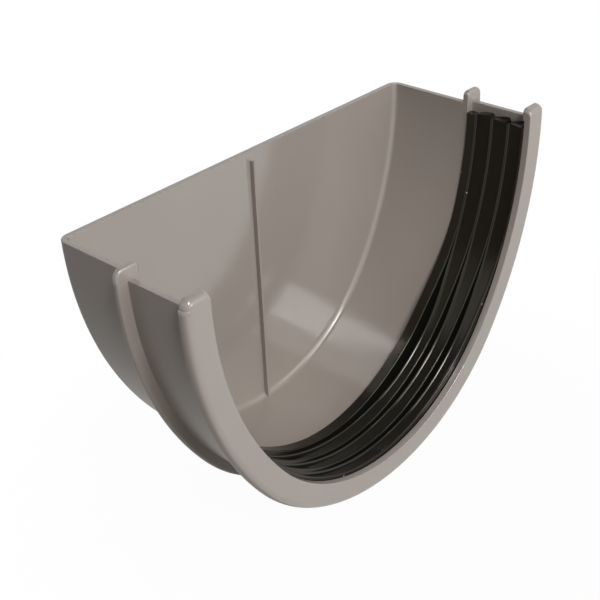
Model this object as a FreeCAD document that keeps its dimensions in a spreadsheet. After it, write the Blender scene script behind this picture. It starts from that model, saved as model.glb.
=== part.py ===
import FreeCAD, Part
import math
import os
import Sketcher

# External stop end for a deep half-round gutter, with its rubber lip seal, in millimetres.
# X runs across the gutter, Y from the open mouth to the end wall, Z up from the top edges.
# The origin lies on the mouth's front plane, midway between the two top edges.

SIZES = (
    ("gutter_width", 170),
    ("gutter_depth", 110),
    ("side_arc_angle", 37),
    ("overall_length", 70),
    ("wall", 2.1),
    ("end_wall", 2.2),
    ("corner_round", 2.4),
    ("mouth_clearance", 0.7),
    ("barrel_clearance", 2.3),
    ("groove_depth", 2.9),
    ("socket_length", 30.3),
    ("rim_lip", 2.9),
    ("rim_thickness", 3.6),
    ("rim_projection", 3.9),
    ("rim_round", 3),
    ("rib_thickness", 2.5),
    ("rib_projection", 4.2),
    ("rib_bevel", 0.8),
    ("edge_flat", 0.3),
    ("ear_height", 4.7),
    ("ear_inset", 0.6),
    ("ear_corner", 3.2),
    ("centre_rib_width", 1),
    ("centre_rib_height", 1.5),
    ("centre_rib_drop", 3.7),
    ("seal_clearance", 0.1),
    ("seal_base", 3),
    ("seal_squeeze", 0.9),
    ("seal_drop", 3.8),
    ("seal_bead", 1.2),
    ("seal_heel", 3),
    ("lip_count", 3),
    ("lip_land", 0.6),
    ("lip_valley", 1),
)

# The gutter's outer skin is a half oval of three tangent arcs: two side arcs centred on the top
# line and a base arc centred on the middle line. Every wall of the cap is an offset of that skin.
HALF_WIDTH = "(Sheet.gutter_width / 2)"
DEPTH = "Sheet.gutter_depth"
SIDE_ANGLE = "(Sheet.side_arc_angle * 1 deg)"
SIDE_SHIFT = f"(({DEPTH} - {HALF_WIDTH}) / (1 + tan({SIDE_ANGLE}) - 1 / cos({SIDE_ANGLE})))"
SIDE_RADIUS = f"({HALF_WIDTH} + {SIDE_SHIFT})"
SIDE_CENTRE = f"(0 - {SIDE_SHIFT})"
BASE_CENTRE = f"(0 - {SIDE_SHIFT} * tan({SIDE_ANGLE}))"
BASE_RADIUS = f"({DEPTH} + {BASE_CENTRE})"

# Offsets from the gutter's skin, outward positive.
MOUTH = "Sheet.mouth_clearance"
BARREL_IN = "Sheet.barrel_clearance"
BARREL_OUT = f"({BARREL_IN} + Sheet.wall)"
SOCKET_IN = f"({BARREL_IN} + Sheet.groove_depth)"
SOCKET_OUT = f"({SOCKET_IN} + Sheet.wall)"
RIM_OUT = f"({SOCKET_OUT} + Sheet.rim_projection)"
RIB_OUT = f"({SOCKET_OUT} + Sheet.rib_projection)"
SEAL_OUT = f"({SOCKET_IN} - Sheet.seal_clearance)"
SEAL_FLOOR = f"({SEAL_OUT} - Sheet.seal_base)"
SEAL_CREST = "(0 - Sheet.seal_squeeze)"

# The barrel turns a round corner into the end wall. The swept wall's foot runs on past that
# corner, and the flat panel of the end wall overlaps it.
OUTER_CORNER = "(Sheet.corner_round + Sheet.wall)"
CORNER_END = f"({BARREL_IN} - Sheet.corner_round)"
PANEL_EDGE = f"({CORNER_END} - Sheet.corner_round)"
FOOT = f"({PANEL_EDGE} - Sheet.corner_round)"

# Stations along the gutter.
COLLAR = "Sheet.socket_length"
RIB_BACK = f"({COLLAR} + Sheet.rib_thickness)"
BACK = "Sheet.overall_length"
END_INNER = f"({BACK} - Sheet.end_wall)"
SEAL_FRONT = "(Sheet.rim_lip + Sheet.seal_clearance)"
SEAL_BACK = f"({COLLAR} - Sheet.seal_clearance)"

# The flanges' softened edges, each limited by the wall that carries it.
RIM_ROUND = "min(Sheet.rim_round; Sheet.rim_thickness - Sheet.edge_flat)"
RIB_BEVEL = "min(Sheet.rib_bevel; (Sheet.rib_thickness - Sheet.edge_flat) / 2)"
EAR_CORNER = "min(Sheet.ear_corner; Sheet.ear_height - Sheet.edge_flat)"
EAR_RISE = f"(Sheet.ear_height - {EAR_CORNER})"
EAR_REACH = f"min({RIM_ROUND} - Sheet.ear_inset; {EAR_CORNER} - Sheet.edge_flat)"
EAR_ROUND = f"(({EAR_REACH} ^ 2 + {RIM_ROUND} ^ 2) / (2 * {EAR_REACH}))"

doc = FreeCAD.newDocument("gutter_end_cap")
sheet = doc.addObject("Spreadsheet::Sheet", "Sheet")
for row, (alias, size) in enumerate(SIZES, start=1):
    sheet.set(f"A{row}", alias)
    sheet.set(f"B{row}", str(size))
    sheet.setAlias(f"B{row}", alias)
doc.recompute()


def evaluate(expression):
    result = sheet.evalExpression(expression.replace("Sheet.", ""))
    return float(getattr(result, "Value", result))


def new_sketch(body, name, role, lift="0"):
    sketch = body.newObject("Sketcher::SketchObject", name)
    plane = next(item for item in body.Origin.OriginFeatures if item.Role == role)
    sketch.AttachmentSupport = (plane, [""])
    sketch.MapMode = "FlatFace"
    sketch.setExpression("AttachmentOffset.Base.z", lift)
    return sketch


def place_of(corner):
    return FreeCAD.Vector(evaluate(corner[0]), evaluate(corner[1]), 0)


def pin_point(sketch, geometry, end, corner):
    # Holds one end of a sketch edge at the corner's two expressions, measured from the origin.
    for axis, kind, expression in ((-2, "DistanceX", corner[0]), (-1, "DistanceY", corner[1])):
        if expression == "0":
            sketch.addConstraint(Sketcher.Constraint("PointOnObject", geometry, end, axis))
            continue
        index = sketch.addConstraint(
            Sketcher.Constraint(kind, -1, 1, geometry, end, evaluate(expression)))
        sketch.setExpression(f"Constraints[{index}]", expression)


def arc_between(start, finish, radius):
    # A positive radius turns left on the way from start to finish, a negative one turns right.
    chord = finish - start
    middle = (start + finish) * 0.5
    left = FreeCAD.Vector(-chord.y, chord.x, 0).normalize()
    reach = math.sqrt(max(radius ** 2 - (chord.Length / 2) ** 2, 0))
    centre = middle + left * math.copysign(reach, radius)
    if radius < 0:
        start, finish = finish, start
    angles = [math.atan2(point.y - centre.y, point.x - centre.x) for point in (start, finish)]
    circle = Part.Circle(centre, FreeCAD.Vector(0, 0, 1), abs(radius))
    return Part.ArcOfCircle(circle, angles[0], angles[1])


def draw_outline(sketch, corners):
    # Each corner is its two coordinates, with the radius of the arc that leaves it if it has one.
    edges = []
    for corner, following in zip(corners, corners[1:] + corners[:1]):
        start = place_of(corner)
        finish = place_of(following)
        if len(corner) == 2:
            edges.append((sketch.addGeometry(Part.LineSegment(start, finish)), 1, 2))
            continue
        radius = evaluate(corner[2])
        geometry = sketch.addGeometry(arc_between(start, finish, radius))
        edges.append((geometry, 1, 2) if radius > 0 else (geometry, 2, 1))
    for corner, edge, following in zip(corners, edges, edges[1:] + edges[:1]):
        geometry, first, last = edge
        pin_point(sketch, geometry, first, corner)
        sketch.addConstraint(
            Sketcher.Constraint("Coincident", geometry, last, following[0], following[1]))
        if len(corner) == 3:
            size = corner[2].removeprefix("-")
            index = sketch.addConstraint(Sketcher.Constraint("Radius", geometry, evaluate(size)))
            sketch.setExpression(f"Constraints[{index}]", size)


def draw_axis(sketch, start, finish):
    line = sketch.addGeometry(Part.LineSegment(place_of(start), place_of(finish)), True)
    pin_point(sketch, line, 1, start)
    pin_point(sketch, line, 2, finish)


def add_pad(body, name, sketch, length):
    pad = body.newObject("PartDesign::Pad", name)
    pad.Profile = sketch
    pad.setExpression("Length", length)


def add_turn(body, name, sketch, angle, backward):
    # Turns a wall section about the axis line drawn in its own sketch.
    turn = body.newObject("PartDesign::Revolution", name)
    turn.Profile = sketch
    turn.ReferenceAxis = (sketch, ["Axis0"])
    turn.setExpression("Angle", angle)
    turn.Reversed = backward


def sweep_section(body, section):
    # Sweeps a wall section down the right half of the oval: the side arc, then the base arc.
    side = new_sketch(body, f"{body.Name}_side_section", "XY_Plane")
    draw_outline(side, [(f"{HALF_WIDTH} + {item[0]}", *item[1:]) for item in section])
    draw_axis(side, (SIDE_CENTRE, "0"), (SIDE_CENTRE, BACK))
    add_turn(body, f"{body.Name}_side", side, SIDE_ANGLE, False)
    base = new_sketch(body, f"{body.Name}_base_section", "YZ_Plane")
    draw_outline(base, [(item[1], f"-({DEPTH} + {item[0]})", *item[2:]) for item in section])
    draw_axis(base, ("0", BASE_CENTRE), (BACK, BASE_CENTRE))
    add_turn(body, f"{body.Name}_base", base, f"90 deg - {SIDE_ANGLE}", True)


def mirror_whole(body, label):
    mirrored = doc.addObject("Part::Mirroring", f"{label}_left")
    mirrored.Source = body
    mirrored.Normal = FreeCAD.Vector(1, 0, 0)
    whole = doc.addObject("Part::Fuse", label)
    whole.Base = body
    whole.Tool = mirrored
    whole.Refine = True
    whole.Label = label
    return whole


def cap_section():
    return [
        (MOUTH, "0"),
        (f"({RIM_OUT} - {RIM_ROUND})", "0", RIM_ROUND),
        (RIM_OUT, RIM_ROUND),
        (RIM_OUT, "Sheet.rim_thickness"),
        (SOCKET_OUT, "Sheet.rim_thickness"),
        (SOCKET_OUT, COLLAR),
        (f"({RIB_OUT} - {RIB_BEVEL})", COLLAR),
        (RIB_OUT, f"({COLLAR} + {RIB_BEVEL})"),
        (RIB_OUT, f"({RIB_BACK} - {RIB_BEVEL})"),
        (f"({RIB_OUT} - {RIB_BEVEL})", RIB_BACK),
        (BARREL_OUT, RIB_BACK),
        (BARREL_OUT, f"({BACK} - {OUTER_CORNER})", OUTER_CORNER),
        (f"({BARREL_OUT} - {OUTER_CORNER})", BACK),
        (FOOT, BACK),
        (FOOT, END_INNER),
        (CORNER_END, END_INNER, "-Sheet.corner_round"),
        (BARREL_IN, f"({END_INNER} - Sheet.corner_round)"),
        (BARREL_IN, COLLAR),
        (SOCKET_IN, COLLAR),
        (SOCKET_IN, "Sheet.rim_lip"),
        (MOUTH, "Sheet.rim_lip"),
    ]


def add_end_wall(body):
    joint_x = f"({SIDE_CENTRE} + ({SIDE_RADIUS} + {PANEL_EDGE}) * cos({SIDE_ANGLE}))"
    joint_z = f"(0 - ({SIDE_RADIUS} + {PANEL_EDGE}) * sin({SIDE_ANGLE}))"
    sketch = new_sketch(body, "end_wall_outline", "XZ_Plane", f"-{BACK}")
    draw_outline(sketch, [
        ("0", "0"),
        ("0", f"(0 - {DEPTH} - {PANEL_EDGE})", f"({BASE_RADIUS} + {PANEL_EDGE})"),
        (joint_x, joint_z, f"({SIDE_RADIUS} + {PANEL_EDGE})"),
        (f"({HALF_WIDTH} + {PANEL_EDGE})", "0"),
    ])
    add_pad(body, "end_wall", sketch, "Sheet.end_wall")


def add_centre_rib(body):
    # The rib stands on the inside of the end wall, with its foot let into the barrel's wall.
    half_width = "(Sheet.centre_rib_width / 2)"
    top = "(0 - Sheet.centre_rib_drop)"
    foot = f"(0 - {DEPTH} - ({BARREL_IN} + {BARREL_OUT}) / 2)"
    sketch = new_sketch(body, "centre_rib_outline", "XZ_Plane", f"-{END_INNER}")
    draw_outline(sketch, [("0", top), ("0", foot), (half_width, foot), (half_width, top)])
    add_pad(body, "centre_rib", sketch, "Sheet.centre_rib_height")


def rim_edge():
    # Outer end of the rim's section, measured outward from the centre of its ear's corner.
    return [
        ("0", "0"),
        (f"({EAR_CORNER} - {EAR_REACH})", "0", EAR_ROUND),
        (EAR_CORNER, RIM_ROUND),
        (EAR_CORNER, "Sheet.rim_thickness"),
        ("0", "Sheet.rim_thickness"),
    ]


def rib_edge():
    # Outer end of the rib's section, measured outward from the centre of its ear's corner.
    return [
        ("0", COLLAR),
        (f"({EAR_CORNER} - {RIB_BEVEL})", COLLAR),
        (EAR_CORNER, f"({COLLAR} + {RIB_BEVEL})"),
        (EAR_CORNER, f"({RIB_BACK} - {RIB_BEVEL})"),
        (f"({EAR_CORNER} - {RIB_BEVEL})", RIB_BACK),
        ("0", RIB_BACK),
    ]


def flipped(item):
    # Swapping the two axes of a section turns each of its arcs the other way.
    return [f"-{radius}" for radius in item[2:]]


def add_ear(body, name, inside, outside, edge):
    # An ear carries a flange's section up past the walls' top edges, round a corner and inward.
    centre = f"({HALF_WIDTH} + {outside} - {EAR_CORNER})"
    inner = f"({HALF_WIDTH} + {inside})"
    section = [(f"({centre} + {item[0]})", *item[1:]) for item in edge]

    post = new_sketch(body, f"{name}_post_outline", "XY_Plane")
    draw_outline(post, [(inner, edge[0][1]), *section[1:-1], (inner, edge[-1][1])])
    add_pad(body, f"{name}_post", post, EAR_RISE)

    bend = new_sketch(body, f"{name}_bend_section", "XY_Plane", EAR_RISE)
    draw_outline(bend, section)
    draw_axis(bend, (centre, "0"), (centre, BACK))
    add_turn(body, f"{name}_bend", bend, "90 deg", True)

    crown = new_sketch(body, f"{name}_crown_section", "YZ_Plane", inner)
    draw_outline(crown, [(item[1], f"({EAR_RISE} + {item[0]})", *flipped(item)) for item in edge])
    add_pad(body, f"{name}_crown", crown, f"({centre} - {inner})")


def build_cap():
    body = doc.addObject("PartDesign::Body", "cap_half")
    sweep_section(body, cap_section())
    add_end_wall(body)
    add_centre_rib(body)
    add_ear(body, "rim_ear", MOUTH, f"({RIM_OUT} - Sheet.ear_inset)", rim_edge())
    add_ear(body, "rib_ear", BARREL_IN, RIB_OUT, rib_edge())
    return mirror_whole(body, "cap_body")


def seal_section():
    # A bead stands behind the rim. Each lip behind it is a hollow ramp that rises from the seal's base
    # to a narrow land at its back, and the last land runs on as a heel to the groove's end.
    # A ramp's two flats meet at a knee on the arc that leaves the base level and ends at the land.
    bead_back = f"({SEAL_FRONT} + Sheet.seal_bead)"
    heel_front = f"({SEAL_BACK} - Sheet.seal_heel)"
    pitch = f"(({heel_front} + Sheet.lip_valley - {bead_back}) / Sheet.lip_count)"
    height = f"({SEAL_FLOOR} - {SEAL_CREST})"
    run = f"({pitch} - Sheet.lip_valley - Sheet.lip_land)"
    ramp_radius = f"(({run} ^ 2 + {height} ^ 2) / (2 * {height}))"
    knee_angle = f"atan({height} / {run})"
    knee_offset = f"({SEAL_FLOOR} - {ramp_radius} * (1 - cos({knee_angle})))"
    section = [
        (SEAL_CREST, SEAL_FRONT),
        (SEAL_OUT, SEAL_FRONT),
        (SEAL_OUT, SEAL_BACK),
        (SEAL_CREST, SEAL_BACK),
    ]
    last_lip = int(evaluate("Sheet.lip_count")) - 1
    for lip in range(last_lip, -1, -1):
        foot = f"({bead_back} + {lip} * {pitch})"
        crest = f"({foot} + {run})"
        land_back = f"({crest} + Sheet.lip_land)"
        if lip < last_lip:
            section += [
                (SEAL_FLOOR, f"({land_back} + Sheet.lip_valley)"),
                (SEAL_FLOOR, land_back),
                (SEAL_CREST, land_back),
            ]
        section += [
            (SEAL_CREST, crest),
            (knee_offset, f"({foot} + {ramp_radius} * sin({knee_angle}))"),
        ]
    return [*section, (SEAL_FLOOR, bead_back), (SEAL_CREST, bead_back)]


def build_seal():
    # The seal fills the socket's groove and stops short of the walls' top edges.
    body = doc.addObject("PartDesign::Body", "seal_half")
    sweep_section(body, seal_section())
    near = f"({HALF_WIDTH} + {SEAL_CREST} - Sheet.seal_drop)"
    far = f"({HALF_WIDTH} + {SOCKET_OUT})"
    trim = new_sketch(body, "seal_end_trim", "XY_Plane")
    draw_outline(trim, [(near, "0"), (far, "0"), (far, COLLAR), (near, COLLAR)])
    cut = body.newObject("PartDesign::Pocket", "seal_end")
    cut.Profile = trim
    cut.setExpression("Length", "Sheet.seal_drop")
    return mirror_whole(body, "rubber_seal")


nodes = (build_cap(), build_seal())
doc.recompute()

for item in doc.Objects:
    if "Invalid" in item.State or "Error" in item.State:
        raise RuntimeError(f"{item.Label} did not build: {item.State}")
for node in nodes:
    if node.Shape.isNull() or not node.Shape.isValid():
        raise RuntimeError(f"{node.Label} has no valid shape")

os.makedirs("parts", exist_ok=True)
for node in nodes:
    node.Shape.exportStep(f"parts/{node.Label}.step")
    print(f"{node.Label}: {len(node.Shape.Solids)} solid, {node.Shape.Volume:.0f} cubic millimetres")
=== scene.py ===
import math

import bmesh
import bpy
from mathutils import Matrix, Vector


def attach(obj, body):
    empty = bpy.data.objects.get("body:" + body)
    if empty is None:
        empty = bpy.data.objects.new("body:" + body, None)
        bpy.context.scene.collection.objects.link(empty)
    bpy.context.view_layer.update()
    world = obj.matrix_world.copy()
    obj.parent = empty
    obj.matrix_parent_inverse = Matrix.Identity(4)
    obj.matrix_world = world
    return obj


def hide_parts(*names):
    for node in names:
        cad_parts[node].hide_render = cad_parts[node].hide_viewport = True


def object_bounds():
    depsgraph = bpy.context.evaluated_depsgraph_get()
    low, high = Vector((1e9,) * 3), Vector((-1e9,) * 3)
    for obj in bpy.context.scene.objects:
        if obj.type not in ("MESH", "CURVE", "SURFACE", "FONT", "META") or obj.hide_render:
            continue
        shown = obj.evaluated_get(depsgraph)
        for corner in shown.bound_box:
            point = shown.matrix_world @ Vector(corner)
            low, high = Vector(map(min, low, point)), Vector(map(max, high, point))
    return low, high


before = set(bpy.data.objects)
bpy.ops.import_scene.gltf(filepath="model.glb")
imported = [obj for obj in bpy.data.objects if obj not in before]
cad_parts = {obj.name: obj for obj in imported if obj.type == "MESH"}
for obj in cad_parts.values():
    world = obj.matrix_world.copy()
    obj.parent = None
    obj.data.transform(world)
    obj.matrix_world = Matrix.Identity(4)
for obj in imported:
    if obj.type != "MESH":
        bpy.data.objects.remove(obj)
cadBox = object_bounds()
mm = 0.001
print("frame loaded:", sorted(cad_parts))


# Gutter section that every wall follows: two side arcs centred on the top line, one base arc
gutter = {
    "width": 170,            # mm, outside
    "depth": 110,
    "sideArc": 37,           # degrees
    "sideSteps": 52,
    "baseSteps": 76,
}


def gutterStations(drops):
    # Points of the gutter's skin with their outward directions, from the right top edge to the left;
    # drops are the depths below the top line of the first stations
    half = gutter["width"] / 2
    turn = math.radians(gutter["sideArc"])
    shift = (gutter["depth"] - half) / (1 + math.tan(turn) - 1 / math.cos(turn))
    sideRadius = half + shift
    baseCentre = -shift * math.tan(turn)
    baseRadius = gutter["depth"] + baseCentre
    angles = [math.asin(drop / sideRadius) for drop in drops]
    start = angles[-1]
    for step in range(1, gutter["sideSteps"]):
        angles.append(start + (turn - start) * step / gutter["sideSteps"])
    right = []
    for angle in angles:
        out = Vector((math.cos(angle), -math.sin(angle)))
        right.append((Vector((-shift, 0)) + out * sideRadius, out))
    base = []
    for step in range(gutter["baseSteps"] + 1):
        angle = turn + (math.pi - 2 * turn) * step / gutter["baseSteps"]
        out = Vector((math.cos(angle), -math.sin(angle)))
        base.append((Vector((0, baseCentre)) + out * baseRadius, out))
    mirror = Vector((-1, 1))
    left = [(point * mirror, out * mirror) for point, out in reversed(right)]
    return right + base + left


def quarterTurn(steps):
    return [math.pi / 2 * step / steps for step in range(steps + 1)]


roundSteps = ((2, 10), (0.7, 6), (0, 3))    # a round of more than this radius in mm, and its steps


def roundedOutline(corners):
    # Each corner is (offset, station, radius)
    outline = []
    for index, (offset, station, radius) in enumerate(corners):
        here = Vector((offset, station))
        if radius == 0:
            outline.append(here)
            continue
        before = (Vector(corners[index - 1][:2]) - here).normalized()
        after = (Vector(corners[(index + 1) % len(corners)][:2]) - here).normalized()
        half = before.angle(after) / 2
        centre = here + (before + after).normalized() * radius / math.sin(half)
        start = here + before * radius / math.tan(half) - centre
        finish = here + after * radius / math.tan(half) - centre
        steps = next(count for size, count in roundSteps if radius > size)
        for step in range(steps + 1):
            outline.append(centre + start.slerp(finish, step / steps) * radius)
    return outline


def insetCorners(corners, inset, keep):
    # The same corners with every side drawn into the material, except at stations that keep() names
    cornerTurn = 0.5         # sine of the turn that tells a corner from a point along a side
    moved = []
    for index, (offset, station, radius) in enumerate(corners):
        here = Vector((offset, station))
        ahead = (here - Vector(corners[index - 1][:2])).normalized()
        after = (Vector(corners[(index + 1) % len(corners)][:2]) - here).normalized()
        if keep(station):
            moved.append((offset, station, radius))
            continue
        turning = ahead.cross(after)
        shift = Vector((-ahead.y, ahead.x))
        if abs(turning) > cornerTurn:
            shift += Vector((-after.y, after.x))
        place = here + shift * inset
        moved.append((place.x, place.y, radius - inset * turning if radius else 0))
    return moved


def skinRows(mesh, rows, openEdge=None, satin=()):
    # Faces between rows of vertices; the edge that starts at openEdge gets none,
    # and those that start in satin take the piece's second material
    count = len(rows[0])
    for row, following in zip(rows, rows[1:]):
        for index in range(count):
            if index == openEdge:
                continue
            after = (index + 1) % count
            face = mesh.faces.new((row[index], row[after], following[after], following[index]))
            face.material_index = int(index in satin)


def closeRows(mesh, rows, satin=()):
    # The same with a face at each end
    skinRows(mesh, rows, satin=satin)
    mesh.faces.new(rows[0])
    mesh.faces.new(rows[-1])


def sweepOutline(mesh, outlines, stations, openEdge=None, satin=()):
    # One row of vertices per station, with faces between them
    rows = []
    for (point, out), outline in zip(stations, outlines):
        row = []
        for place in outline:
            skin = point + out * place.x
            row.append(mesh.verts.new(Vector((skin.x, place.y, skin.y)) * mm))
        rows.append(row)
    skinRows(mesh, rows, openEdge, satin)
    return rows


sharpTurn = 40               # degrees, at which an edge stays crisp


def makePiece(name, mesh, materials):
    data = bpy.data.meshes.new(name)
    bmesh.ops.recalc_face_normals(mesh, faces=mesh.faces)
    mesh.to_mesh(data)
    mesh.free()
    for material in materials:
        data.materials.append(material)
    data.shade_smooth()
    data.set_sharp_from_angle(angle=math.radians(sharpTurn))
    piece = bpy.data.objects.new(name, data)
    bpy.context.scene.collection.objects.link(piece)
    normals = piece.modifiers.new("flatFaces", "WEIGHTED_NORMAL")
    normals.keep_sharp = True
    return piece


def hexColour(text):
    # sRGB hex to linear
    values = [int(text[place:place + 2], 16) / 255 for place in (0, 2, 4)]
    linear = [v / 12.92 if v <= 0.04045 else ((v + 0.055) / 1.055) ** 2.4 for v in values]
    return (*linear, 1)


def addNode(tree, kind, settings=None, inputs=None):
    # An input goes by its name or number, and is a plain value or another node's output to link from
    node = tree.nodes.new(kind)
    for name, value in (settings or {}).items():
        setattr(node, name, value)
    for name, value in (inputs or {}).items():
        if isinstance(value, bpy.types.NodeSocket):
            tree.links.new(value, node.inputs[name])
        else:
            node.inputs[name].default_value = value
    return node


def newMaterial(name):
    material = bpy.data.materials.new(name)
    material.use_nodes = True
    material.node_tree.nodes.clear()
    return material, material.node_tree


# Moulded PVC: the inside is straight from a polished core, so it mirrors its surroundings softly;
# the outside is satin from a finely blasted cavity and only takes a sheen
mouldedPvc = {
    "light": "a0978f",
    "dark": "9a918a",
    "mottleSize": 30,        # mm
    "mottleDetail": 3,
    "rippleSize": 9,         # mm
    "rippleDetail": 2,
    "rippleHeight": 0.006,   # mm
    "polished": 0.12,        # roughness
    "polishedSpecular": 0.7,
    "satin": 0.38,
    "satinSpecular": 0.12,
    "ior": 1.53,
}


def makeMouldedPvc(name, roughness, specular):
    material, tree = newMaterial(name)
    place = addNode(tree, "ShaderNodeTexCoord").outputs["Object"]
    mottle = addNode(tree, "ShaderNodeTexNoise", None, {
        "Vector": place, "Scale": 1 / (mouldedPvc["mottleSize"] * mm), "Detail": mouldedPvc["mottleDetail"]})
    colour = addNode(tree, "ShaderNodeMix", {"data_type": "RGBA"}, {
        "Factor": mottle.outputs["Fac"],
        "A": hexColour(mouldedPvc["dark"]), "B": hexColour(mouldedPvc["light"])})
    ripple = addNode(tree, "ShaderNodeTexNoise", None, {
        "Vector": place, "Scale": 1 / (mouldedPvc["rippleSize"] * mm), "Detail": mouldedPvc["rippleDetail"]})
    relief = addNode(tree, "ShaderNodeBump", None, {
        "Height": ripple.outputs["Fac"], "Strength": 1.0, "Distance": mouldedPvc["rippleHeight"] * mm})
    surface = addNode(tree, "ShaderNodeBsdfPrincipled", None, {
        "Base Color": colour.outputs["Result"], "Roughness": roughness, "IOR": mouldedPvc["ior"],
        "Specular IOR Level": specular, "Normal": relief.outputs["Normal"]})
    addNode(tree, "ShaderNodeOutputMaterial", None, {"Surface": surface.outputs["BSDF"]})
    return material


# Extruded EPDM rubber: warm black and slick, drawn into fine lines along the strip that break up its
# sheen, with a little pale dust
extrudedEpdm = {
    "colour": "0f0f0c",
    "dust": "b8b2a8",
    "dustSpacing": 9,        # mm
    "dustSize": 0.3,         # mm
    "lineWidth": 0.4,        # mm, coarser than a die really leaves them, so that they show
    "lineStretch": 0.02,     # a line's width to its length
    "lineDetail": 2,
    "lineHeight": 0.014,     # mm
    "roughness": 0.14,
    "specular": 0.4,
    "sheen": "fff6e4",       # tint of its reflections
    "ior": 1.52,
}


def makeExtrudedEpdm():
    material, tree = newMaterial("extrudedEpdm")
    place = addNode(tree, "ShaderNodeTexCoord").outputs["Object"]
    stretch = extrudedEpdm["lineStretch"]
    drawn = addNode(tree, "ShaderNodeMapping", None, {"Vector": place, "Scale": (stretch, 1, stretch)})
    lines = addNode(tree, "ShaderNodeTexNoise", None, {
        "Vector": drawn.outputs["Vector"],
        "Scale": 1 / (extrudedEpdm["lineWidth"] * mm), "Detail": extrudedEpdm["lineDetail"]})
    relief = addNode(tree, "ShaderNodeBump", None, {
        "Height": lines.outputs["Fac"], "Strength": 1.0, "Distance": extrudedEpdm["lineHeight"] * mm})
    motes = addNode(tree, "ShaderNodeTexVoronoi", None, {
        "Vector": place, "Scale": 1 / (extrudedEpdm["dustSpacing"] * mm)})
    speck = addNode(tree, "ShaderNodeMath", {"operation": "LESS_THAN"}, {
        0: motes.outputs["Distance"], 1: extrudedEpdm["dustSize"] / extrudedEpdm["dustSpacing"]})
    colour = addNode(tree, "ShaderNodeMix", {"data_type": "RGBA"}, {
        "Factor": speck.outputs[0],
        "A": hexColour(extrudedEpdm["colour"]), "B": hexColour(extrudedEpdm["dust"])})
    surface = addNode(tree, "ShaderNodeBsdfPrincipled", None, {
        "Base Color": colour.outputs["Result"], "Roughness": extrudedEpdm["roughness"],
        "IOR": extrudedEpdm["ior"], "Specular IOR Level": extrudedEpdm["specular"],
        "Specular Tint": hexColour(extrudedEpdm["sheen"]), "Normal": relief.outputs["Normal"]})
    addNode(tree, "ShaderNodeOutputMaterial", None, {"Surface": surface.outputs["BSDF"]})
    return material


# Cap: one moulded wall swept round the gutter's section, closed by the flat end wall (all mm)
cap = {
    "length": 70, "wall": 2.1, "endWall": 2.2, "innerCorner": 2.4,
    "mouthGap": 0.7, "barrelGap": 2.3, "grooveDepth": 2.9, "socketLength": 30.3,
    "rimLip": 2.9, "rimThickness": 3.6, "rimProjection": 3.9, "rimRound": 3.0,
    "ribThickness": 2.5, "ribProjection": 4.2, "ribRound": 1.0,
    "edgeRound": 0.35, "rootRound": 0.15, "topRound": 0.22, "topSteps": 3, "footReach": 7.0,
    "earClear": 1.0,         # past an ear, where the top edges start to be rounded
    "satinEdge": 1.0,        # how far the satin of the outside comes in over the rim's front
}
mouth = cap["mouthGap"]
barrelIn = cap["barrelGap"]
barrelOut = barrelIn + cap["wall"]
socketIn = barrelIn + cap["grooveDepth"]
socketOut = socketIn + cap["wall"]
rimOut = socketOut + cap["rimProjection"]
ribOut = socketOut + cap["ribProjection"]
collar = cap["socketLength"]
ribBack = collar + cap["ribThickness"]
endInner = cap["length"] - cap["endWall"]
foot = barrelIn - cap["footReach"]      # on the flat end wall

# Ears that carry the rim and the rib past the top edges; the rim's stand on a ledge (all mm)
ears = {
    "height": 4.7, "rimCorner": 2.7, "ribCorner": 3.2, "rimInset": 0.6,
    "innerRound": 1.7, "edgeRound": 0.35, "steps": 8,
    "ledge": 1.3, "ledgeRound": 0.2, "ledgeReach": 3.4, "ledgeSteps": 3,
    "ledgeSink": 0.05,       # keeps the ledge's faces clear of the ear's
}

# Rib down the middle of the end wall's inside, sunk into the wall (all mm)
centreRib = {"width": 1.0, "height": 2.0, "drop": 3.7, "edgeRound": 0.1, "sink": 0.6}


def underEar(station):
    return station <= cap["rimThickness"] or collar <= station <= ribBack


def capOutline(inset):
    edge = cap["edgeRound"]
    root = cap["rootRound"]
    clear = cap["earClear"]
    corners = [
        (mouth, 0, edge),
        (rimOut, 0, cap["rimRound"]),
        (rimOut, cap["rimThickness"], edge),
        (socketOut, cap["rimThickness"], root),
        (socketOut, cap["rimThickness"] + clear, 0),
        (socketOut, collar - clear, 0),
        (socketOut, collar, root),
        (ribOut, collar, cap["ribRound"]),
        (ribOut, ribBack, cap["ribRound"]),
        (barrelOut, ribBack, root),
        (barrelOut, ribBack + clear, 0),
        (barrelOut, cap["length"], cap["innerCorner"] + cap["wall"]),
        (foot, cap["length"], 0),
        (foot, endInner, 0),
        (barrelIn, endInner, cap["innerCorner"]),
        (barrelIn, ribBack + clear, 0),
        (barrelIn, collar, edge),
        (socketIn, collar, edge),
        (socketIn, collar - clear, 0),
        (socketIn, cap["rimThickness"] + clear, 0),
        (socketIn, cap["rimLip"], edge),
        (mouth, cap["rimLip"], edge),
    ]
    outline = roundedOutline(insetCorners(corners, inset, underEar))
    # The flat end wall starts where its corner rounds end
    return [place for place in outline if place.x > foot + 2 * cap["topRound"]]


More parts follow.
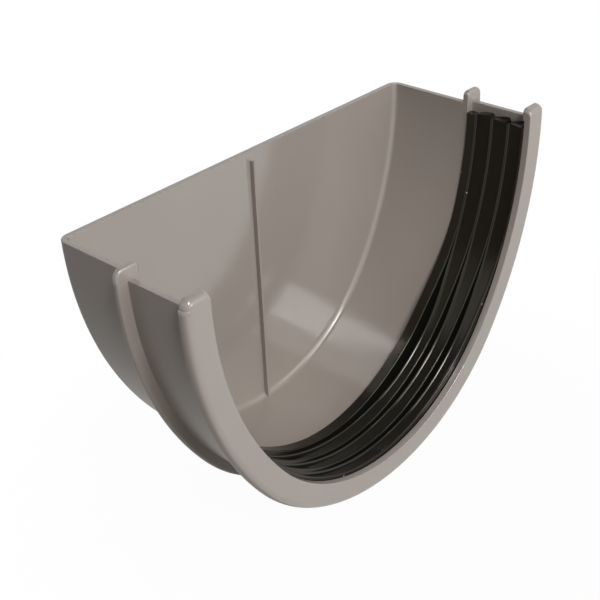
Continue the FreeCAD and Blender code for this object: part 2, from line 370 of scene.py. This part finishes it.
def buildCapWall(mesh):
    steps = cap["topSteps"]
    drops = []
    outlines = []
    for angle in quarterTurn(steps):
        drops.append(cap["topRound"] * (1 - math.cos(angle)))
        outlines.append(capOutline(cap["topRound"] * (1 - math.sin(angle))))
    stations = gutterStations(drops)
    plain = [outlines[-1]] * (len(stations) - 2 * len(outlines))
    last = max(range(len(outlines[0])), key=lambda index: outlines[0][index].y)
    outside = []
    for index, place in enumerate(outlines[0][:last]):
        if place.x > rimOut - cap["satinEdge"] or place.y > cap["rimThickness"]:
            outside.append(index)
    rows = sweepOutline(mesh, outlines + plain + outlines[::-1], stations, last, outside)
    for corner in (last, last + 1):
        mesh.faces.new([row[corner] for row in rows[steps:len(rows) - steps]])
        for step in range(steps):
            mesh.faces.new((rows[step][corner], rows[step + 1][corner],
                            rows[-2 - step][corner], rows[-1 - step][corner]))
    right = rows[0][last + 1:] + rows[0][:last + 1]
    left = rows[-1][last + 1:] + rows[-1][:last + 1]
    mesh.faces.new(right + left[::-1])


def earOutline(inner, outer, outerRound, inset, innerInset):
    # The ear seen from the front: up the outer side, round the corner, in along the top
    inside = inner + innerInset
    innerRound = ears["innerRound"]
    outerCentre = Vector((outer - outerRound, ears["height"] - outerRound))
    innerCentre = Vector((inside + innerRound, ears["height"] - inset - innerRound))
    points = [Vector((inside, 0)), Vector((outer - inset, 0))]
    for angle in quarterTurn(ears["steps"]):
        points.append(outerCentre + Vector((math.cos(angle), math.sin(angle))) * (outerRound - inset))
    for angle in quarterTurn(ears["steps"]):
        points.append(innerCentre + Vector((-math.sin(angle), math.cos(angle))) * innerRound)
    return points


def roundShare(distance, radius):
    # From 1 at the edge that a round ends in to 0 where the round starts
    share = max(0, 1 - distance / radius)
    return 1 - math.sqrt(max(0, 1 - share ** 2))


def roundLayers(front, back, frontInset, frontRound, backRound):
    # Stations through a flange from front to back, each with how far its outer and inner edges draw in
    angles = quarterTurn(ears["steps"])
    stations = [front + frontRound * (1 - math.cos(angle)) for angle in angles]
    stations += [back - backRound * (1 - math.sin(angle)) for angle in angles]
    small = ears["edgeRound"]
    layers = []
    for y in stations:
        outer = frontInset * roundShare(y - front, frontRound) + backRound * roundShare(back - y, backRound)
        inner = small * roundShare(min(y - front, back - y), small)
        layers.append((y, outer, inner))
    return layers


def buildEar(mesh, side, inner, outer, outerRound, layers):
    half = gutter["width"] / 2
    rows = []
    for y, inset, innerInset in layers:
        row = []
        for place in earOutline(half + inner, half + outer, outerRound, inset, innerInset):
            row.append(mesh.verts.new(Vector((side * place.x, y, place.y)) * mm))
        rows.append(row)
    closeRows(mesh, rows)


def buildLedge(mesh, side):
    # The rim's own section, carried a little way up round the ear's foot
    half = gutter["width"] / 2
    inside = rimOut - ears["ledgeReach"]
    front = ears["ledgeSink"]
    back = cap["rimThickness"] - ears["ledgeSink"]
    insets = [(0, 0)]
    for angle in quarterTurn(ears["ledgeSteps"]):
        height = ears["ledge"] - ears["ledgeRound"] * (1 - math.sin(angle))
        insets.append((height, ears["ledgeRound"] * (1 - math.cos(angle))))
    rows = []
    for z, inset in insets:
        outline = roundedOutline([
            (inside, front + inset, 0),
            (rimOut - inset, front + inset, cap["rimRound"] - inset),
            (rimOut - inset, back - inset, cap["edgeRound"] - inset),
            (inside, back - inset, 0)])
        rows.append([mesh.verts.new(Vector((side * (half + place.x), place.y, z)) * mm) for place in outline])
    closeRows(mesh, rows)


def buildCentreRib(mesh):
    half = centreRib["width"] / 2
    crest = endInner - centreRib["height"]
    root = endInner + centreRib["sink"]
    outline = roundedOutline([
        (-half, root, 0), (-half, crest, centreRib["edgeRound"]),
        (half, crest, centreRib["edgeRound"]), (half, root, 0)])
    bottom = -(gutter["depth"] + (barrelIn + barrelOut) / 2)
    rows = []
    for z in (-centreRib["drop"], bottom):
        rows.append([mesh.verts.new(Vector((place.x, place.y, z)) * mm) for place in outline])
    closeRows(mesh, rows, range(len(outline)))      # satin, since its slot in the mould isn't polished


def buildCap(materials):
    mesh = bmesh.new()
    buildCapWall(mesh)
    rimReach = cap["rimRound"] - ears["rimInset"]
    rimLayers = roundLayers(0, cap["rimThickness"], rimReach, cap["rimRound"], ears["edgeRound"])
    ribLayers = roundLayers(collar, ribBack, cap["ribRound"], cap["ribRound"], cap["ribRound"])
    for side in (1, -1):
        buildEar(mesh, side, mouth, rimOut - ears["rimInset"], ears["rimCorner"], rimLayers)
        buildLedge(mesh, side)
        buildEar(mesh, side, barrelIn, ribOut, ears["ribCorner"], ribLayers)
    buildCentreRib(mesh)
    piece = makePiece("moulded_cap", mesh, materials)
    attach(piece, "root")
    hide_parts("cap_body")
    print("cap built:", len(piece.data.polygons), "faces")


# Seal: a rubber strip in the groove behind the rim, with a bead, three blades that rise from a knee, and
# a heel at the collar. It bows out of the groove in the bends, most at the right, and its blades lie
# lower up the sides (all mm)
seal = {
    "gap": 0.1, "base": 3.0, "squeeze": 0.9, "drop": 3.8,
    "leftDrop": 7.4,         # the strip sits a little towards the right, as in the photograph
    "endRise": 1.4,          # how far each blade's root stands up at the strip's right end
    "endSteps": 36,          # along the strip's back, so that it follows that end
    "bead": 1.2, "heel": 3.9, "heelSink": 2.6,
    "lips": 3, "land": 0.6, "valley": 0.95, "lean": 1.0, "crestRound": 0.45, "tipRound": 0.12,
    "rootSlope": 4, "bladeSlope": 70,       # degrees
    "kneeRound": 0.75, "kneeEase": 1.25,    # where the strip lies back, and how much more where it bows;
                                            # both ends keep to one entry of roundSteps
    "settle": 1.8,           # how much lower the blades are where the strip lies back in its groove
    "bow": 1.5, "heelBow": 5.7, "floorBow": 0.8,
    "bowRise": (0.14, 0.31), "bowEase": (0.35, 0.58), "bowFall": (0.70, 0.88),    # shares of the length
    "leftBow": 0.5,          # how much of the bow is left past bowEase
}
sealOut = socketIn - seal["gap"]
sealFront = cap["rimLip"] + seal["gap"]
sealBack = collar - seal["gap"]
beadBack = sealFront + seal["bead"]
heelFront = sealBack - seal["heel"]
lipPitch = (heelFront - beadBack + seal["valley"]) / seal["lips"]
lipRun = lipPitch - seal["valley"] - seal["land"]


def easeBetween(span, place):
    share = min(1, max(0, (place - span[0]) / (span[1] - span[0])))
    return share * share * (3 - 2 * share)


def sealBow(place):
    # From 0 to 1; place is a share of the strip's length from the right end
    eased = 1 - (1 - seal["leftBow"]) * easeBetween(seal["bowEase"], place)
    return easeBetween(seal["bowRise"], place) * eased * (1 - easeBetween(seal["bowFall"], place))


def sealOutline(bow):
    floor = sealOut - seal["base"] - seal["floorBow"] * bow
    crest = -seal["squeeze"] - seal["bow"] * bow + seal["settle"] * (1 - bow)
    heel = -seal["squeeze"] + seal["heelSink"] - seal["heelBow"] * bow
    edge = seal["crestRound"]
    knee = seal["kneeRound"] + seal["kneeEase"] * bow
    rootSlope = math.tan(math.radians(seal["rootSlope"]))
    bladeSlope = math.tan(math.radians(seal["bladeSlope"]))
    corners = []
    for step in range(seal["endSteps"] + 1):
        corners.append((sealOut, sealFront + (sealBack - sealFront) * step / seal["endSteps"], 0))
    corners.append((heel, sealBack, edge))
    for lip in reversed(range(seal["lips"])):
        start = beadBack + lip * lipPitch
        landBack = start + lipRun + seal["land"]
        tip = crest
        if lip == seal["lips"] - 1:         # the last blade runs on into the heel
            tip = min(crest, heel)
            corners.append((tip, landBack, 0))
        else:
            corners += [
                (floor, landBack + seal["valley"], 0),
                (floor, landBack - seal["lean"], edge),
                (tip, landBack, seal["tipRound"]),
            ]
        bladeRun = (floor - tip - lipRun * rootSlope) / (bladeSlope - rootSlope)
        rootRun = lipRun - bladeRun
        corners.append((tip, start + lipRun, edge))
        corners.append((floor - rootRun * rootSlope, start + rootRun, knee))
    corners += [(floor, beadBack, 0), (crest, beadBack, edge), (crest, sealFront, edge)]
    return roundedOutline(corners)


def endScallop(station):
    # The cut end stands higher at each blade's root than at its tip
    if not beadBack <= station <= heelFront:
        return 0
    share = (station - beadBack) / lipPitch % 1
    return seal["endRise"] * math.cos(share * math.pi / 2)


def buildSeal(materials):
    mesh = bmesh.new()
    stations = gutterStations([seal["drop"]])
    stations = [station for station in stations if station[0].x > 0 or station[0].y < -seal["leftDrop"]]
    points = [point for point, out in stations]
    reaches = [0]
    for point, following in zip(points, points[1:]):
        reaches.append(reaches[-1] + (following - point).length)
    outlines = [sealOutline(sealBow(reach / reaches[-1])) for reach in reaches]
    rows = sweepOutline(mesh, outlines, stations)
    for vertex, place in zip(rows[0], outlines[0]):
        vertex.co.z += endScallop(place.y) * mm
    ends = [mesh.faces.new(row) for row in (rows[0], rows[-1])]
    bmesh.ops.triangulate(mesh, faces=ends, ngon_method="BEAUTY")
    piece = makePiece("lip_seal", mesh, materials)
    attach(piece, "root")
    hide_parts("rubber_seal")
    print("seal built:", len(piece.data.polygons), "faces")


# Studio: white floor and backdrop, a key lamp from the front left, one high in front, one broad and low
studio = {
    "floorSize": 6.0,        # m
    "floorColour": "c4c3c1",
    "nearShare": 0.97,       # how much of the floor that the eye sees is plain white, under the cap
    "farShare": 1.0,         # and well away from it
    "nearReach": 0.05,       # m
    "farReach": 0.20,        # m
    "worldLight": 0.02,      # on the cap, from all round
    "ceiling": 0.25,         # how bright the room overhead is to the eye, beside a white backdrop
    "ceilingRise": (35, 55),    # degrees up, from the backdrop to the ceiling
    "lamps": (
        # name, azimuth, elevation, distance m, width m, height m, watts
        ("keyLamp", -25, 47.7, 1.3, 0.35, 0.35, 8.5),
        ("overLamp", -5, 58, 1.3, 0.42, 0.42, 3.2),
        ("frontLamp", 8, 18, 1.3, 1.0, 0.6, 6.3),
    ),
}


def whiteForEye(tree):
    # One for rays from the eye, straight or by way of a mirror or glass
    rays = addNode(tree, "ShaderNodeLightPath")
    mirrored = addNode(tree, "ShaderNodeMath", {"operation": "MAXIMUM"}, {
        0: rays.outputs["Is Glossy Ray"], 1: rays.outputs["Is Transmission Ray"]})
    seen = addNode(tree, "ShaderNodeMath", {"operation": "MAXIMUM"}, {
        0: rays.outputs["Is Camera Ray"], 1: mirrored.outputs[0]})
    return seen.outputs[0]


def makeFloor():
    material, tree = newMaterial("paperFloor")
    place = addNode(tree, "ShaderNodeTexCoord").outputs["Object"]
    away = addNode(tree, "ShaderNodeVectorMath", {"operation": "LENGTH"}, {0: place})
    share = addNode(tree, "ShaderNodeMapRange", {"interpolation_type": "SMOOTHSTEP"}, {
        "Value": away.outputs["Value"], "From Min": studio["nearReach"], "From Max": studio["farReach"],
        "To Min": studio["nearShare"], "To Max": studio["farShare"]})
    seen = addNode(tree, "ShaderNodeMath", {"operation": "MULTIPLY"}, {
        0: whiteForEye(tree), 1: share.outputs["Result"]})
    paper = addNode(tree, "ShaderNodeBsdfDiffuse", None, {"Color": hexColour(studio["floorColour"])})
    white = addNode(tree, "ShaderNodeEmission", None, {"Strength": 1.0})
    both = addNode(tree, "ShaderNodeMixShader", None, {
        "Fac": seen.outputs[0], 1: paper.outputs[0], 2: white.outputs[0]})
    addNode(tree, "ShaderNodeOutputMaterial", None, {"Surface": both.outputs[0]})
    mesh = bmesh.new()
    bmesh.ops.create_grid(mesh, x_segments=1, y_segments=1, size=studio["floorSize"] / 2)
    data = bpy.data.meshes.new("studioFloor")
    mesh.to_mesh(data)
    mesh.free()
    data.materials.append(material)
    floor = bpy.data.objects.new("studioFloor", data)
    floor.location.z = cadBox[0].z
    bpy.context.scene.collection.objects.link(floor)


def makeWorld():
    world = bpy.data.worlds.new("studioWorld")
    world.use_nodes = True
    tree = world.node_tree
    tree.nodes.clear()
    plain = (1, 1, 1, 1)
    soft = addNode(tree, "ShaderNodeBackground", None, {"Color": plain, "Strength": studio["worldLight"]})
    way = addNode(tree, "ShaderNodeSeparateXYZ", None, {
        "Vector": addNode(tree, "ShaderNodeTexCoord").outputs["Generated"]})
    heights = [math.sin(math.radians(angle)) for angle in studio["ceilingRise"]]
    room = addNode(tree, "ShaderNodeMapRange", {"interpolation_type": "SMOOTHSTEP"}, {
        "Value": way.outputs["Z"], "From Min": heights[0], "From Max": heights[1],
        "To Min": 1.0, "To Max": studio["ceiling"]})
    white = addNode(tree, "ShaderNodeBackground", None, {"Color": plain, "Strength": room.outputs["Result"]})
    both = addNode(tree, "ShaderNodeMixShader", None, {
        "Fac": whiteForEye(tree), 1: soft.outputs[0], 2: white.outputs[0]})
    addNode(tree, "ShaderNodeOutputWorld", None, {"Surface": both.outputs[0]})
    bpy.context.scene.world = world


def viewDirection(azimuth, elevation):
    # From the object towards a camera or lamp; azimuth 0 is in front, +X to the right
    a = math.radians(azimuth)
    e = math.radians(elevation)
    return Vector((math.sin(a) * math.cos(e), -math.cos(a) * math.cos(e), math.sin(e)))


def makeLamps():
    middle = (cadBox[0] + cadBox[1]) / 2
    for name, azimuth, elevation, distance, width, height, watts in studio["lamps"]:
        data = bpy.data.lights.new(name, "AREA")
        data.shape = "RECTANGLE"
        data.size = width
        data.size_y = height
        data.energy = watts
        lamp = bpy.data.objects.new(name, data)
        away = viewDirection(azimuth, elevation)
        lamp.location = middle + away * distance
        lamp.rotation_euler = away.to_track_quat("Z", "Y").to_euler()
        bpy.context.scene.collection.objects.link(lamp)


# Camera at the photograph's view
photoView = {
    "azimuth": -46.51, "elevation": 31.28, "roll": -2.56,   # degrees
    "aim": (-2.5, 43.0, -54.7),                            # mm
    "distance": 450.0,                                     # mm
    "lens": 70.1, "sensor": 36.0,                          # mm
}


def makeCamera():
    data = bpy.data.cameras.new("photoCamera")
    data.sensor_width = photoView["sensor"]
    data.lens = photoView["lens"]
    camera = bpy.data.objects.new("photoCamera", data)
    away = viewDirection(photoView["azimuth"], photoView["elevation"])
    turn = away.to_track_quat("Z", "Y").to_matrix().to_4x4()
    roll = Matrix.Rotation(math.radians(photoView["roll"]), 4, "Z")
    place = Matrix.Translation((Vector(photoView["aim"]) + away * photoView["distance"]) * mm)
    camera.matrix_world = place @ turn @ roll
    bpy.context.scene.collection.objects.link(camera)
    bpy.context.scene.camera = camera


buildCap([makeMouldedPvc("polishedPvc", mouldedPvc["polished"], mouldedPvc["polishedSpecular"]),
          makeMouldedPvc("satinPvc", mouldedPvc["satin"], mouldedPvc["satinSpecular"])])
buildSeal([makeExtrudedEpdm()])
makeFloor()
makeWorld()
makeLamps()
makeCamera()
bpy.context.scene.view_settings.view_transform = "Standard"
print("studio ready")
